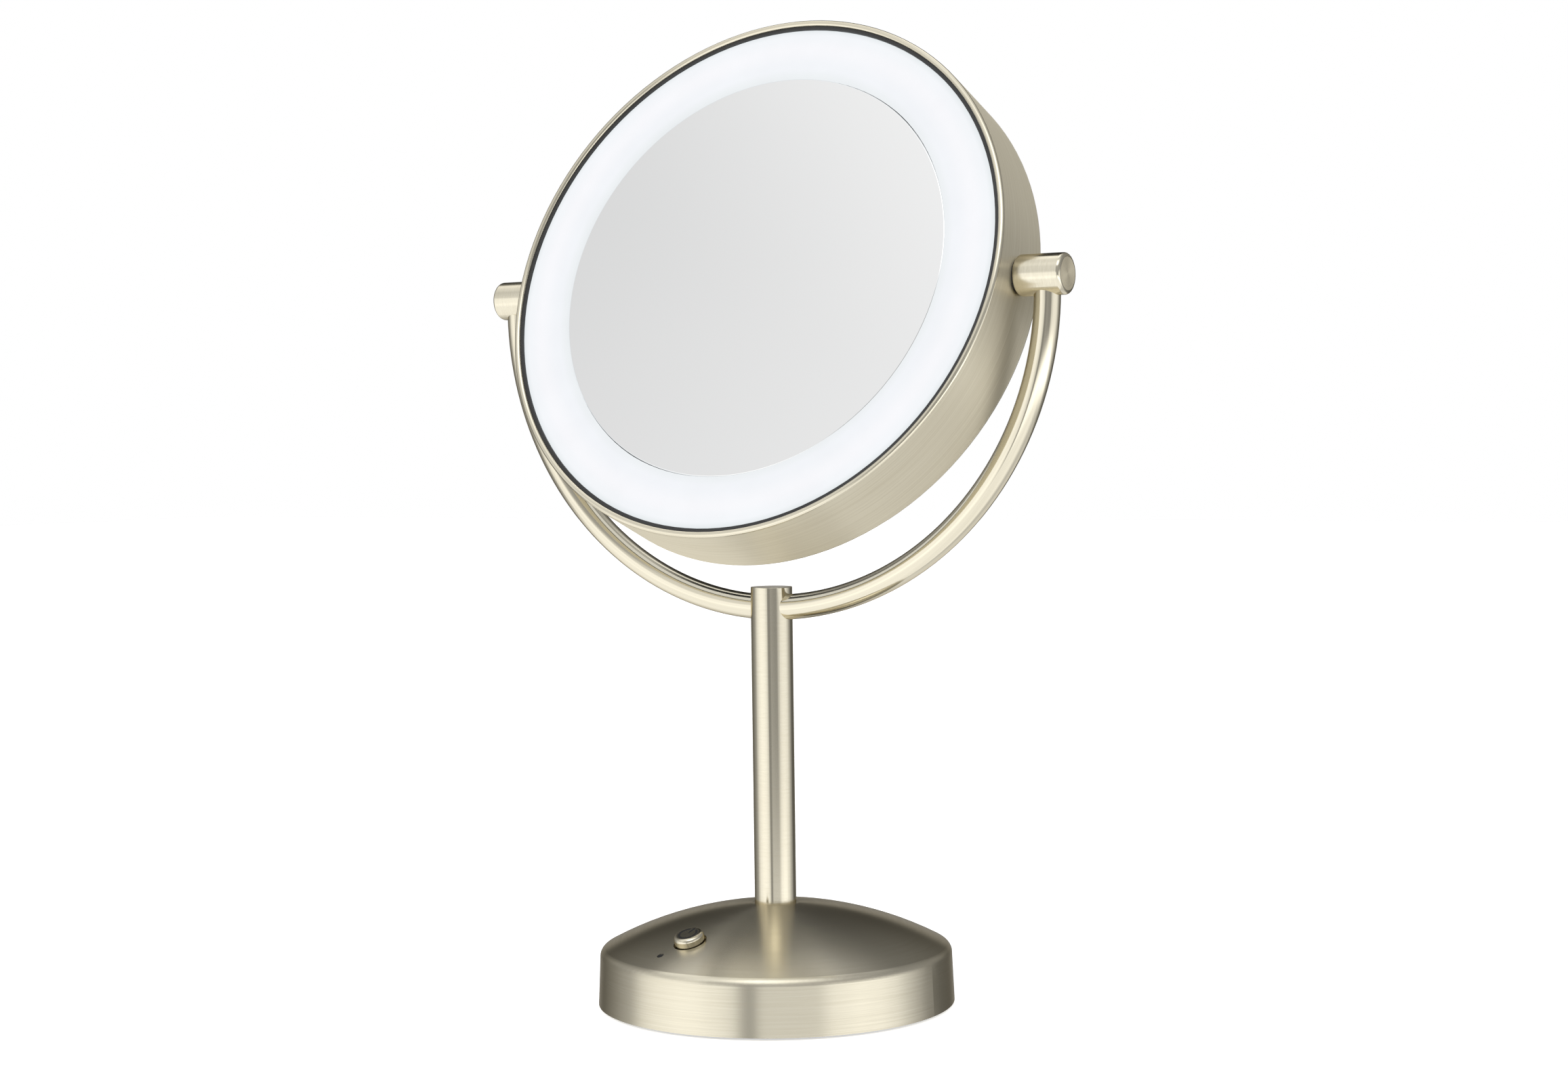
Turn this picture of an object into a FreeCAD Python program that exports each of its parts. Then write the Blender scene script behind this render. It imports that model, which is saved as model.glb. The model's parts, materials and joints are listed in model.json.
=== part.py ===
import FreeCAD, Part
import math
import os

# Lighted vanity mirror on a weighted round base. Millimetres, +Z up, origin at the middle of the
# base on the surface it stands on. The yoke lies in the XZ plane and the lit face looks towards -Y.
Vec = FreeCAD.Vector
X_AXIS = Vec(1, 0, 0)
Y_AXIS = Vec(0, 1, 0)
Z_AXIS = Vec(0, 0, 1)
ORIGIN = Vec(0, 0, 0)
SIDES = {"left": -1, "right": 1}
SNUG = 0.05
GAP = 0.2

# Base: a thin spun shell with a tapered wall and a dome
SKIN = 1.5
BASE_R = 69.3
SHOULDER_R = 68.4
SHELL_BOTTOM = 0.8
SHOULDER_Z = 21.5
DOME_Z = 39.0
SHOULDER_FILLET = 3.5
DOME_RISE = DOME_Z - SHOULDER_Z
DOME_SPHERE_R = (SHOULDER_R ** 2 + DOME_RISE ** 2) / (2 * DOME_RISE)
DOME_CENTRE_Z = DOME_Z - DOME_SPHERE_R
STEM_SEAT_Z = DOME_Z - 0.3

FOOT_H = 1.2
FOOT_R_IN = 54.0
FOOT_R_OUT = 64.0
PLATE_R = 67.0
PLATE_TOP = 3.4
BALLAST_R = 66.0
BALLAST_TOP = 9.4
SCREW_CIRCLE_R = 44.0
BOTTOM_SCREW_COUNT = 4
BOTTOM_SCREW_HEAD_R = 2.8
BOTTOM_SCREW_HEAD = 1.2
BOTTOM_SCREW_R = 1.5
BOTTOM_SCREW_SHANK = 6.0

# Post and the threaded tube that clamps it to the base
STEM_R = 8.1
STEM_WALL = 1.5
STEM_BORE_R = STEM_R - STEM_WALL
STEM_TOP = 162.0
CAP_THICK = 0.8
STUD_R = 5.4
STUD_BORE_R = 4.2
STUD_BOTTOM = 3.6
STUD_TOP = 56.0
PLUG_TOP = 54.0
SLEEVE_R = 8.0
SLEEVE_TOP = 37.2
NUT_RECESS_R = 9.8
NUT_RECESS_TOP = 6.9
WASHER_BOTTOM = 6.1
WASHER_R = 9.2
STEM_NUT_ACROSS_FLATS = 16.0
WINDOW_LOW = 26.0
WINDOW_HIGH = 35.5
SLEEVE_WINDOW_HALF = 5.0
STUD_WINDOW_HALF = 4.6

# Yoke arms: round tube, a quarter circle each and a short straight up to the pivot
YOKE_R = 119.0
YOKE_CENTRE_Z = 273.0
ROD_R = 4.95
ROD_WALL = 1.2
ROD_BORE_R = ROD_R - ROD_WALL
ARM_START_X = 5.6
PIVOT_Z = 277.5

# Pivots, measured outwards from the middle of the head along X
BARREL_R = 7.7
BARREL_IN = 108.0
BARREL_WEB_OUT = 110.5
BARREL_OUT = 127.2
BARREL_ROUND = 1.4
BARREL_CAVITY_R = 6.2
PIVOT_CAP_IN = 123.0
SHAFT_R = 3.5
SHAFT_BORE_R = 2.0
SHAFT_IN = 97.5
SHAFT_OUT = 115.6
COLLAR_R = 5.8
COLLAR_IN = 104.3
COLLAR_OUT = 105.65
FRICTION_WASHER = (SHAFT_R + 0.15, 6.2, 0.5)
THRUST_WASHER = (SHAFT_R + 0.1, 4.6, 0.5)
SPRING_WASHER = (SHAFT_R, 4.5, 0.45)
STOP_WASHER = (SHAFT_R, 4.6, 0.7)
INNER_NUT = 4.0
OUTER_NUT = 3.0
NUT_ACROSS_FLATS = 10.4
STOP_PIN_R = 0.6
STOP_PIN_CIRCLE_R = 5.4
STOP_PIN_LENGTH = 3.2
STOP_PIN_DEPTH = 1.5
STOP_TAB_R = 5.9
STOP_TAB_HALF_ANGLE = 6.3

# Head, measured forwards or backwards from the pivot axis along Y. The rear half is deeper, to
# clear the bowed magnifying glass.
REST_TILT = 20.9
HEAD_R = 107.3
HEAD_WALL = 1.4
HEAD_BORE_R = HEAD_R - HEAD_WALL
HEAD_FRONT = 16.2
HEAD_BACK = 18.2
REAR_SHIFT = HEAD_BACK - HEAD_FRONT
LIP_R = 105.1
LIP_DEPTH = 2.0
LIP_ROUND_OUT = 1.2
LIP_ROUND_IN = 0.7
LIP_FLATS = 4
BEZEL_FRONT = 15.0
BEZEL_SEAT = 14.0
BEZEL_END = 8.2
BEZEL_R_IN = 103.5
BEZEL_R_OUT = LIP_R - 0.1
BEZEL_SKIRT_R_IN = 104.2
DIFFUSER_FRONT = 14.8
DIFFUSER_R_IN = 82.9
DIFFUSER_R_OUT = 103.3
DIFFUSER_THICK = 2.0
MIRROR_R = 82.6
MIRROR_FRONT = 13.9
GLASS = 3.0
MAGNIFIER_R = 600.0
PAD_R_IN = 58.0
PAD_R_OUT = 79.0
PAD_THICK = 1.0
REFLECTOR_FLOOR = 6.5
REFLECTOR_WALL = 1.0
REFLECTOR_R_IN = 83.5
REFLECTOR_R_OUT = 104.0
REFLECTOR_TOP = 12.7
STRIP_R = 85.0
STRIP_THICK = 0.3
STRIP_IN = 7.7
STRIP_OUT = 11.9
LED_COUNT = 36
LED_SIZE = (0.8, 2.8, 3.5)
CHASSIS_HALF = 1.2
CHASSIS_R = 103.6
CHASSIS_WALL = 1.6
MIRROR_WALLS_R = (60.0, 75.0)
CHANNEL_WALLS_R = (84.5, 101.5)
LIGHTENING_HOLES = 6
LIGHTENING_HOLE_R = 17.0
LIGHTENING_CIRCLE_R = 38.0
BOSS_HEIGHT = 8.9
BRACKET_IN = 92.0
BRACKET_WEB_IN = 102.3
BRACKET_WEB_OUT = COLLAR_IN
BRACKET_HALF_Z = 12.5
BRACKET_HALF_Y = 5.5
BRACKET_LEG = 2.0
BRACKET_SCREW_X = 96.65
BRACKET_SCREW_HEAD_R = 2.6
BRACKET_SCREW_HEAD = 1.6
BRACKET_SCREW_R = 1.4
BRACKET_SCREW_LENGTH = 9.0

# Front controls: the button's place on the dome, with depths along the dome's normal there
CONTROL_ANGLE = -100.8
BUTTON_RADIUS = 48.4
CONTROL_SLOPE = math.degrees(math.asin(BUTTON_RADIUS / DOME_SPHERE_R))
BUTTON_Z = DOME_CENTRE_Z + math.sqrt(DOME_SPHERE_R ** 2 - BUTTON_RADIUS ** 2)
BUTTON_R = 5.8
BUTTON_HOLE_R = 6.4
BUTTON_PROUD = 3.4
BUTTON_ROUND = 1.5
BUTTON_SEAT = -2.2
BUTTON_FLANGE_R = 8.0
BUTTON_FLANGE_LOW = -3.4
BUTTON_STEM_R = 2.6
BUTTON_STEM_LOW = -6.4
ICON_DEPTH = 0.25
ICON_R = 3.9
ICON_LINE = 0.9
INDICATOR_OUT = 11.4
INDICATOR_SIDE = -5.4
INDICATOR_HOLE_R = 1.3
PIPE_R = 1.2
PIPE_LOW = -10.9
PIPE_LENGTH = 10.25
BOARD_TOP = -12.0
BOARD_THICK = 1.6
BOARD_IN = -24.0
BOARD_OUT = 16.0
BOARD_HALF_W = 15.0
BOARD_SCREWS_OUT = (-19.0, 12.0)
BOARD_SCREW_HEAD_R = 1.8
BOARD_SCREW_HEAD = 1.2
BOARD_SCREW_R = 0.8
BOARD_SCREW_SHANK = 5.0
GUIDE_TOP = -4.8
GUIDE_THICK = 1.2
GUIDE_R = 8.0
GUIDE_FOOT_IN = 5.5
GUIDE_FOOT_OUT = 7.5
GUIDE_FOOT_HALF = 2.0
PLUNGER_R = 1.7
PLUNGER_LOW = -10.4
SWITCH_HALF = 3.0
SWITCH_TOP = -8.6
SWITCH_WELL = -11.8
CONNECTOR_LENGTH = 6.0
CONNECTOR_HEIGHT = 4.4
CHIP_HEIGHT = 1.1
COIL_R = 3.0
COIL_HEIGHT = 3.0
RIB_OFFSET = 12.5
RIB_THICK = 2.6
BRACKET_FLOOR = 1.2

# Rechargeable cell, charging socket and leads
CELL_R = 9.1
CELL_LENGTH = 65.0
CELL_BUTTON_R = 3.0
CELL_BUTTON = 0.8
CELL_Y = 26.0
CELL_Z = 19.8
CRADLE_TOP = 16.0
CRADLE_WALL = 2.0
CRADLE_END = 3.0
TONGUE_END_Y = 63.0
CONTACT_THICK = 0.4
CONTACT_HALF = 4.0
CONTACT_LOW = CRADLE_TOP - 4.4
SOCKET_Z = 13.3
SOCKET_MOUTH_Y = 68.6
SOCKET_SIZE = (8.94, 3.26)
SOCKET_DEPTH = 7.35
SOCKET_WALL = 0.3
SOCKET_TONGUE_HALF = (3.3, 0.35)
SOCKET_BOARD_THICK = 1.2
SOCKET_BOARD_HALF = 7.0
SOCKET_BOARD_Y = (50.0, 65.0)
LEAD_R = 0.7
LEAD_SPACING = 1.6


# ---------- general helpers ----------

def cylinder(radius, start, end, axis=Z_AXIS):
    """A cylinder about a line through the origin, from start to end along the axis."""
    return Part.makeCylinder(radius, end - start, axis * start, axis)


def ring(r_in, r_out, start, end, axis=Z_AXIS):
    return cylinder(r_out, start, end, axis).cut(cylinder(r_in, start - 1, end + 1, axis))


def block(low, high):
    return Part.makeBox(high[0] - low[0], high[1] - low[1], high[2] - low[2], Vec(*low))


def turned(points):
    """Revolve a closed outline of (radius, distance along Y) points about Y."""
    corners = [Vec(radius, distance, 0) for radius, distance in points]
    face = Part.Face(Part.makePolygon(corners + corners[:1]))
    solid = face.revolve(ORIGIN, Y_AXIS, 360)
    return solid if solid.Volume > 0 else solid.reversed()


def round_edges(shape, radius, wanted):
    """Fillet the edges that the test picks out."""
    edges = [edge for edge in shape.Edges if not edge.Degenerated and wanted(edge)]
    return shape.makeFillet(radius, edges)


def circle_at(radius, axis, distance):
    """A test for a full circular edge of one radius at one distance along an axis."""
    def wanted(edge):
        is_circle = isinstance(edge.Curve, Part.Circle)
        if not is_circle or abs(edge.Curve.Radius - radius) > 0.02:
            return False
        return abs(edge.Curve.Center.dot(axis) - distance) < 0.02
    return wanted


def hexagon(across_flats, start, end, axis=Z_AXIS):
    """A hexagonal prism about a line through the origin."""
    corner = across_flats / math.sqrt(3)
    points = []
    for step in range(7):
        angle = math.radians(60 * step)
        points.append(Vec(corner * math.cos(angle), corner * math.sin(angle), 0))
    prism = Part.Face(Part.makePolygon(points)).extrude(Z_AXIS * (end - start))
    prism.Placement = FreeCAD.Placement(axis * start, FreeCAD.Rotation(Z_AXIS, axis))
    return prism


def stadium(width, height, start, end):
    """A rounded slot shape in the XZ plane, extruded along Y."""
    half = (width - height) / 2
    body = block((-half, start, -height / 2), (half, end, height / 2))
    for side in (-1, 1):
        rounded = Part.makeCylinder(height / 2, end - start, Vec(side * half, start, 0), Y_AXIS)
        body = body.fuse(rounded)
    return body.removeSplitter()


def around_z(shape, count, start_angle=0.0):
    """Copies of a shape, evenly spaced about the Z axis."""
    copies = []
    for index in range(count):
        copy = shape.copy()
        copy.rotate(ORIGIN, Z_AXIS, start_angle + 360.0 * index / count)
        copies.append(copy)
    return copies


def both_sides(shape):
    """A shape made on the +X side and its mirror image on the -X side."""
    return [shape, shape.mirror(ORIGIN, X_AXIS)]


def on_side(shape, side):
    return shape if side > 0 else shape.mirror(ORIGIN, X_AXIS)


def front_and_back(shape, front):
    """Head parts are made facing -Y; the rear ones are mirror images, a little further back."""
    return shape if front else shape.mirror(ORIGIN, Y_AXIS).translated(Vec(0, REAR_SHIFT, 0))


def lead(corners, radii):
    """A round wire along straight runs joined by tangent arcs."""
    edges = []
    here = corners[0]
    for index, radius in enumerate(radii):
        corner = corners[index + 1]
        back = (corners[index] - corner).normalize()
        ahead = (corners[index + 2] - corner).normalize()
        half_turn = math.acos(max(-1.0, min(1.0, -back.dot(ahead)))) / 2
        cut = radius * math.tan(half_turn)
        arc_start = corner + back * cut
        arc_end = corner + ahead * cut
        bisector = (back + ahead).normalize()
        arc_middle = corner + bisector * (radius / math.cos(half_turn) - radius)
        if (arc_start - here).Length > 0.01:
            edges.append(Part.LineSegment(here, arc_start).toShape())
        edges.append(Part.Arc(arc_start, arc_middle, arc_end).toShape())
        here = arc_end
    edges.append(Part.LineSegment(here, corners[-1]).toShape())
    path = Part.Wire(edges)
    direction = (corners[1] - corners[0]).normalize()
    section = Part.Wire([Part.makeCircle(LEAD_R, corners[0], direction)])
    return path.makePipeShell([section], True, True)


# ---------- base ----------

def base_form(inset, bottom):
    """The solid outside form of the base, set in by a wall thickness."""
    top = DOME_Z + 5
    taper = (BASE_R - SHOULDER_R) / (SHOULDER_Z - SHELL_BOTTOM)
    r_bottom = BASE_R + taper * (SHELL_BOTTOM - bottom) - inset
    r_top = BASE_R - taper * (top - SHELL_BOTTOM) - inset
    wall = Part.makeCone(r_bottom, r_top, top - bottom, Vec(0, 0, bottom))
    dome = Part.makeSphere(DOME_SPHERE_R - inset, Vec(0, 0, DOME_CENTRE_Z))
    form = wall.common(dome)

    def is_shoulder(edge):
        return isinstance(edge.Curve, Part.Circle) and edge.Curve.Center.z > PLATE_TOP

    return round_edges(form, SHOULDER_FILLET - inset, is_shoulder)


def base_shell():
    shell = base_form(0, SHELL_BOTTOM).cut(base_form(SKIN, SHELL_BOTTOM - 2))
    shell = shell.cut(cylinder(2 * STEM_R, STEM_SEAT_Z, DOME_Z + 1))
    shell = shell.cut(cylinder(STUD_R + GAP, SHOULDER_Z, DOME_Z))
    shell = shell.cut(on_dome(cylinder(BUTTON_HOLE_R, -4, 4)))
    shell = shell.cut(on_dome(at_indicator(cylinder(INDICATOR_HOLE_R, -4, 4))))
    socket_hole = stadium(SOCKET_SIZE[0] + 0.8, SOCKET_SIZE[1] + 0.8, FOOT_R_OUT, BASE_R + 1)
    return shell.cut(socket_hole.translated(Vec(0, 0, SOCKET_Z)))


def base_bottom_plate():
    plate = cylinder(PLATE_R, FOOT_H, PLATE_TOP)
    plate = plate.cut(cylinder(NUT_RECESS_R, 0, BALLAST_TOP))
    for screw in bottom_screw_group(GAP / 2):
        plate = plate.cut(screw)
    return plate


def bottom_screw_group(clearance=0.0):
    foot = Vec(SCREW_CIRCLE_R, 0, FOOT_H)
    head = Part.makeCylinder(BOTTOM_SCREW_HEAD_R + clearance, BOTTOM_SCREW_HEAD + clearance, foot)
    shank = Part.makeCylinder(BOTTOM_SCREW_R + clearance, BOTTOM_SCREW_SHANK,
                              foot + Z_AXIS * BOTTOM_SCREW_HEAD)
    return around_z(head.fuse(shank), BOTTOM_SCREW_COUNT, 45)


def foot_ring():
    foot = ring(FOOT_R_IN, FOOT_R_OUT, 0, FOOT_H)
    return round_edges(foot, 0.4, circle_at(FOOT_R_OUT, Z_AXIS, 0))


def ballast_weight():
    weight = cylinder(BALLAST_R, PLATE_TOP, BALLAST_TOP)
    weight = weight.cut(cylinder(STUD_R + GAP, 0, BALLAST_TOP + 1))
    weight = weight.cut(cylinder(NUT_RECESS_R, 0, NUT_RECESS_TOP))
    for screw in bottom_screw_group():
        weight = weight.cut(screw)
    return weight


def lead_window(half_width):
    """The slot on the -Y side of the clamping tube that lets the leads out."""
    return block((-half_width, -2 * SLEEVE_R, WINDOW_LOW), (half_width, 0, WINDOW_HIGH))


def spacer_sleeve():
    sleeve = ring(STUD_R + GAP, SLEEVE_R, BALLAST_TOP, SLEEVE_TOP)
    return sleeve.cut(lead_window(SLEEVE_WINDOW_HALF))


def stem_stud():
    stud = ring(STUD_BORE_R, STUD_R, STUD_BOTTOM, STUD_TOP)
    return stud.cut(lead_window(STUD_WINDOW_HALF))


def stem_washer():
    return ring(STUD_R + GAP, WASHER_R, WASHER_BOTTOM, NUT_RECESS_TOP)


def stem_nut():
    nut = hexagon(STEM_NUT_ACROSS_FLATS, STUD_BOTTOM + GAP, WASHER_BOTTOM)
    return nut.cut(cylinder(STUD_R, 0, BALLAST_TOP))


# ---------- post and yoke ----------

def yoke_rod(radius, side):
    """One arm's centreline swept with a solid round section."""
    section = Part.Face(Part.Wire([Part.makeCircle(radius, Vec(YOKE_R, 0, YOKE_CENTRE_Z), Z_AXIS)]))
    curve = section.revolve(Vec(0, 0, YOKE_CENTRE_Z), Y_AXIS, 90)
    straight = Part.makeCylinder(radius, PIVOT_Z - YOKE_CENTRE_Z, Vec(YOKE_R, 0, YOKE_CENTRE_Z))
    return on_side(curve.fuse(straight).removeSplitter(), side)


def yoke_arm(side):
    arm = yoke_rod(ROD_R, side).cut(yoke_rod(ROD_BORE_R, side))
    low = YOKE_CENTRE_Z - YOKE_R - 2 * ROD_R
    high = YOKE_CENTRE_Z - YOKE_R + 2 * ROD_R
    inside_post = block((-1, -2 * ROD_R, low), (ARM_START_X, 2 * ROD_R, high))
    arm = arm.cut(on_side(inside_post, side))
    return arm.cut(on_side(cylinder(BARREL_CAVITY_R, BARREL_IN, BARREL_OUT, X_AXIS), side)
                   .translated(Vec(0, 0, PIVOT_Z)))


def stem_tube():
    tube = ring(STEM_BORE_R, STEM_R, STEM_SEAT_Z, STEM_TOP - CAP_THICK)
    for side in SIDES.values():
        tube = tube.cut(yoke_rod(ROD_R, side))
    return tube


def stem_plug():
    return ring(STUD_R, STEM_BORE_R, STEM_SEAT_Z, PLUG_TOP)


def stem_cap():
    disc = cylinder(STEM_R, STEM_TOP - CAP_THICK, STEM_TOP)
    disc = round_edges(disc, 0.35, circle_at(STEM_R, Z_AXIS, STEM_TOP))
    spigot_bottom = YOKE_CENTRE_Z - YOKE_R + ROD_R + 0.4
    return disc.fuse(cylinder(STEM_BORE_R - SNUG, spigot_bottom, STEM_TOP - CAP_THICK))


# ---------- pivots: parts that stay with the yoke ----------

def at_pivot(shape):
    return shape.translated(Vec(0, 0, PIVOT_Z))


def pivot_barrel(side):
    barrel = cylinder(BARREL_R, BARREL_IN, BARREL_OUT, X_AXIS)
    for end in (BARREL_IN, BARREL_OUT):
        barrel = round_edges(barrel, BARREL_ROUND, circle_at(BARREL_R, X_AXIS, end))
    barrel = barrel.cut(cylinder(BARREL_CAVITY_R, BARREL_WEB_OUT, BARREL_OUT + 1, X_AXIS))
    barrel = barrel.cut(cylinder(SHAFT_R + SNUG, BARREL_IN - 1, BARREL_OUT, X_AXIS))
    barrel = at_pivot(on_side(barrel, side)).cut(yoke_rod(ROD_R, side))
    if side < 0:
        barrel = barrel.cut(stop_pin())
    return barrel


def pivot_caps():
    """Plugs that close the barrels, flush with their rounded ends."""
    plug = cylinder(BARREL_CAVITY_R - SNUG, PIVOT_CAP_IN, BARREL_OUT, X_AXIS)
    return [at_pivot(cap) for cap in both_sides(plug)]


def friction_washers():
    r_in, r_out, thick = FRICTION_WASHER
    washer = ring(r_in, r_out, BARREL_IN - SNUG - thick, BARREL_IN - SNUG, X_AXIS)
    return [at_pivot(item) for item in both_sides(washer)]


def thrust_washers():
    r_in, r_out, thick = THRUST_WASHER
    washer = ring(r_in, r_out, BARREL_WEB_OUT, BARREL_WEB_OUT + thick, X_AXIS)
    return [at_pivot(item) for item in both_sides(washer)]


def stop_pin():
    """Set in the left barrel's web, above the shaft."""
    foot = Vec(-(BARREL_WEB_OUT - STOP_PIN_DEPTH), 0, PIVOT_Z + STOP_PIN_CIRCLE_R)
    return Part.makeCylinder(STOP_PIN_R, STOP_PIN_LENGTH, foot, X_AXIS * -1)


# ---------- pivots: parts that turn with the head ----------

def tilted(shape):
    """Put a part made about the pivot axis, face towards -Y, at the head's rest tilt."""
    moved = shape.copy()
    moved.rotate(ORIGIN, X_AXIS, -REST_TILT)
    return at_pivot(moved)


def pivot_shafts():
    shaft = cylinder(SHAFT_R, SHAFT_IN, SHAFT_OUT, X_AXIS)
    shaft = shaft.fuse(cylinder(COLLAR_R, COLLAR_IN, COLLAR_OUT, X_AXIS))
    return both_sides(shaft.cut(cylinder(SHAFT_BORE_R, SHAFT_IN - 1, SHAFT_OUT + 1, X_AXIS)))


def shaft_nuts():
    outer_end = SHAFT_OUT - GAP
    inner = hexagon(NUT_ACROSS_FLATS, BRACKET_WEB_IN - INNER_NUT, BRACKET_WEB_IN, X_AXIS)
    outer = hexagon(NUT_ACROSS_FLATS, outer_end - OUTER_NUT, outer_end, X_AXIS)
    bore = cylinder(SHAFT_R, SHAFT_IN, SHAFT_OUT + 1, X_AXIS)
    return both_sides(inner.cut(bore)) + both_sides(outer.cut(bore))


def shaft_washers():
    """A spring washer each side, a tabbed stop washer on the left and a plain one on the right."""
    r_in, r_out, thick = SPRING_WASHER
    spring_start = BARREL_WEB_OUT + THRUST_WASHER[2] + 2 * SNUG
    spring = ring(r_in, r_out, spring_start, spring_start + thick, X_AXIS)
    start = spring_start + thick + SNUG
    r_in, r_out, thick = STOP_WASHER
    end = start + thick
    plain = ring(r_in, r_out, start, end, X_AXIS)
    tab = Part.makeCylinder(STOP_TAB_R, thick, Vec(start, 0, 0), X_AXIS, 2 * STOP_TAB_HALF_ANGLE)
    middle = tab.CenterOfMass
    towards_back = math.degrees(math.atan2(middle.z, middle.y))
    tab.rotate(ORIGIN, X_AXIS, -towards_back)
    tab = tab.cut(cylinder(SHAFT_R, start - 1, end + 1, X_AXIS))
    tabbed = plain.fuse(tab).mirror(ORIGIN, X_AXIS)
    return both_sides(spring) + [plain, tabbed]


def pivot_brackets():
    web = block((BRACKET_WEB_IN, -BRACKET_HALF_Y, -BRACKET_HALF_Z),
                (BRACKET_WEB_OUT, BRACKET_HALF_Y, BRACKET_HALF_Z))
    for end in (-1, 1):
        z_edges = sorted((end * (BRACKET_HALF_Z - BRACKET_LEG), end * BRACKET_HALF_Z))
        web = web.fuse(block((BRACKET_IN, -BRACKET_HALF_Y, z_edges[0]),
                             (BRACKET_WEB_IN, BRACKET_HALF_Y, z_edges[1])))
    web = web.cut(cylinder(SHAFT_R, BRACKET_IN, HEAD_R, X_AXIS))
    for screw in bracket_screw_pair():
        web = web.cut(screw)
    return both_sides(web.removeSplitter())


def bracket_screw_pair():
    """The two screws that hold the +X bracket to the chassis."""
    screws = []
    for end in (-1, 1):
        foot = Vec(BRACKET_SCREW_X, 0, end * (BRACKET_HALF_Z - BRACKET_LEG))
        head = Part.makeCylinder(BRACKET_SCREW_HEAD_R, BRACKET_SCREW_HEAD, foot, Z_AXIS * -end)
        shank = Part.makeCylinder(BRACKET_SCREW_R, BRACKET_SCREW_LENGTH, foot, Z_AXIS * end)
        screws.append(head.fuse(shank))
    return screws


def bracket_screws():
    screws = []
    for screw in bracket_screw_pair():
        screws += both_sides(screw)
    return screws


# ---------- head ----------

def soft_corner(radius, end, size, outwards, inwards):
    """Outline points of a rounded corner made of narrow flats, from the end face to the side."""
    points = []
    for step in range(LIP_FLATS + 1):
        angle = math.radians(90 * step / LIP_FLATS)
        points.append((radius - outwards * size * (1 - math.sin(angle)),
                       end + inwards * size * (1 - math.cos(angle))))
    return points


def head_shell():
    """A tube with a thick soft-edged lip at each end, bored for the two shafts."""
    outline = soft_corner(LIP_R, -HEAD_FRONT, LIP_ROUND_IN, -1, 1)[::-1]
    outline += soft_corner(HEAD_R, -HEAD_FRONT, LIP_ROUND_OUT, 1, 1)
    outline += soft_corner(HEAD_R, HEAD_BACK, LIP_ROUND_OUT, 1, -1)[::-1]
    outline += soft_corner(LIP_R, HEAD_BACK, LIP_ROUND_IN, -1, -1)
    outline += [
        (LIP_R, HEAD_BACK - LIP_DEPTH),
        (HEAD_BORE_R, HEAD_BACK - LIP_DEPTH),
        (HEAD_BORE_R, LIP_DEPTH - HEAD_FRONT),
        (LIP_R, LIP_DEPTH - HEAD_FRONT),
    ]
    return turned(outline).cut(cylinder(SHAFT_R, -SHAFT_OUT, SHAFT_OUT, X_AXIS))


def bezel(front):
    """Dark ring between the lip and the diffuser, which it holds down by its flange."""
    outline = [
        (BEZEL_R_IN, -BEZEL_FRONT),
        (BEZEL_R_OUT, -BEZEL_FRONT),
        (BEZEL_R_OUT, -BEZEL_END),
        (BEZEL_SKIRT_R_IN, -BEZEL_END),
        (BEZEL_SKIRT_R_IN, -BEZEL_SEAT),
        (BEZEL_R_IN, -BEZEL_SEAT),
    ]
    return front_and_back(turned(outline), front)


def diffuser(front):
    plate_back = DIFFUSER_FRONT - DIFFUSER_THICK
    flange_front = BEZEL_SEAT - 0.1
    outline = [
        (DIFFUSER_R_IN, -DIFFUSER_FRONT),
        (DIFFUSER_R_OUT, -DIFFUSER_FRONT),
        (DIFFUSER_R_OUT, -flange_front),
        (REFLECTOR_R_OUT, -flange_front),
        (REFLECTOR_R_OUT, -plate_back),
        (DIFFUSER_R_IN, -plate_back),
    ]
    body = turned(outline)
    body = round_edges(body, 0.4, circle_at(DIFFUSER_R_OUT, Y_AXIS, -DIFFUSER_FRONT))
    body = round_edges(body, 0.4, circle_at(DIFFUSER_R_IN, Y_AXIS, -DIFFUSER_FRONT))
    return front_and_back(body, front)


def front_mirror():
    glass = cylinder(MIRROR_R, -MIRROR_FRONT, -(MIRROR_FRONT - GLASS), Y_AXIS)
    return round_edges(glass, 0.4, circle_at(MIRROR_R, Y_AXIS, -MIRROR_FRONT))


def magnifier_centre_y():
    return MIRROR_FRONT + REAR_SHIFT + math.sqrt(MAGNIFIER_R ** 2 - MIRROR_R ** 2)


def rear_mirror():
    """Magnifying glass mirror: both faces are parts of spheres about one centre behind the head."""
    centre = Vec(0, magnifier_centre_y(), 0)
    disc = cylinder(MIRROR_R, 0, HEAD_BACK, Y_AXIS)
    disc = disc.common(Part.makeSphere(MAGNIFIER_R + GLASS, centre))
    return disc.cut(Part.makeSphere(MAGNIFIER_R, centre))


def front_mirror_pad():
    back = MIRROR_FRONT - GLASS
    return ring(PAD_R_IN, PAD_R_OUT, -back, -(back - PAD_THICK), Y_AXIS)


def rear_mirror_pad():
    """Fills between the curved glass and the chassis wall."""
    solid = ring(PAD_R_IN, PAD_R_OUT, rear_wall_end(), MIRROR_FRONT, Y_AXIS)
    return solid.cut(Part.makeSphere(MAGNIFIER_R + GLASS, Vec(0, magnifier_centre_y(), 0)))


def rear_wall_end():
    """Depth of the chassis wall behind the magnifying glass."""
    outer = MAGNIFIER_R + GLASS
    glass_back = magnifier_centre_y() - math.sqrt(outer ** 2 - PAD_R_IN ** 2)
    return glass_back - PAD_THICK


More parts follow.
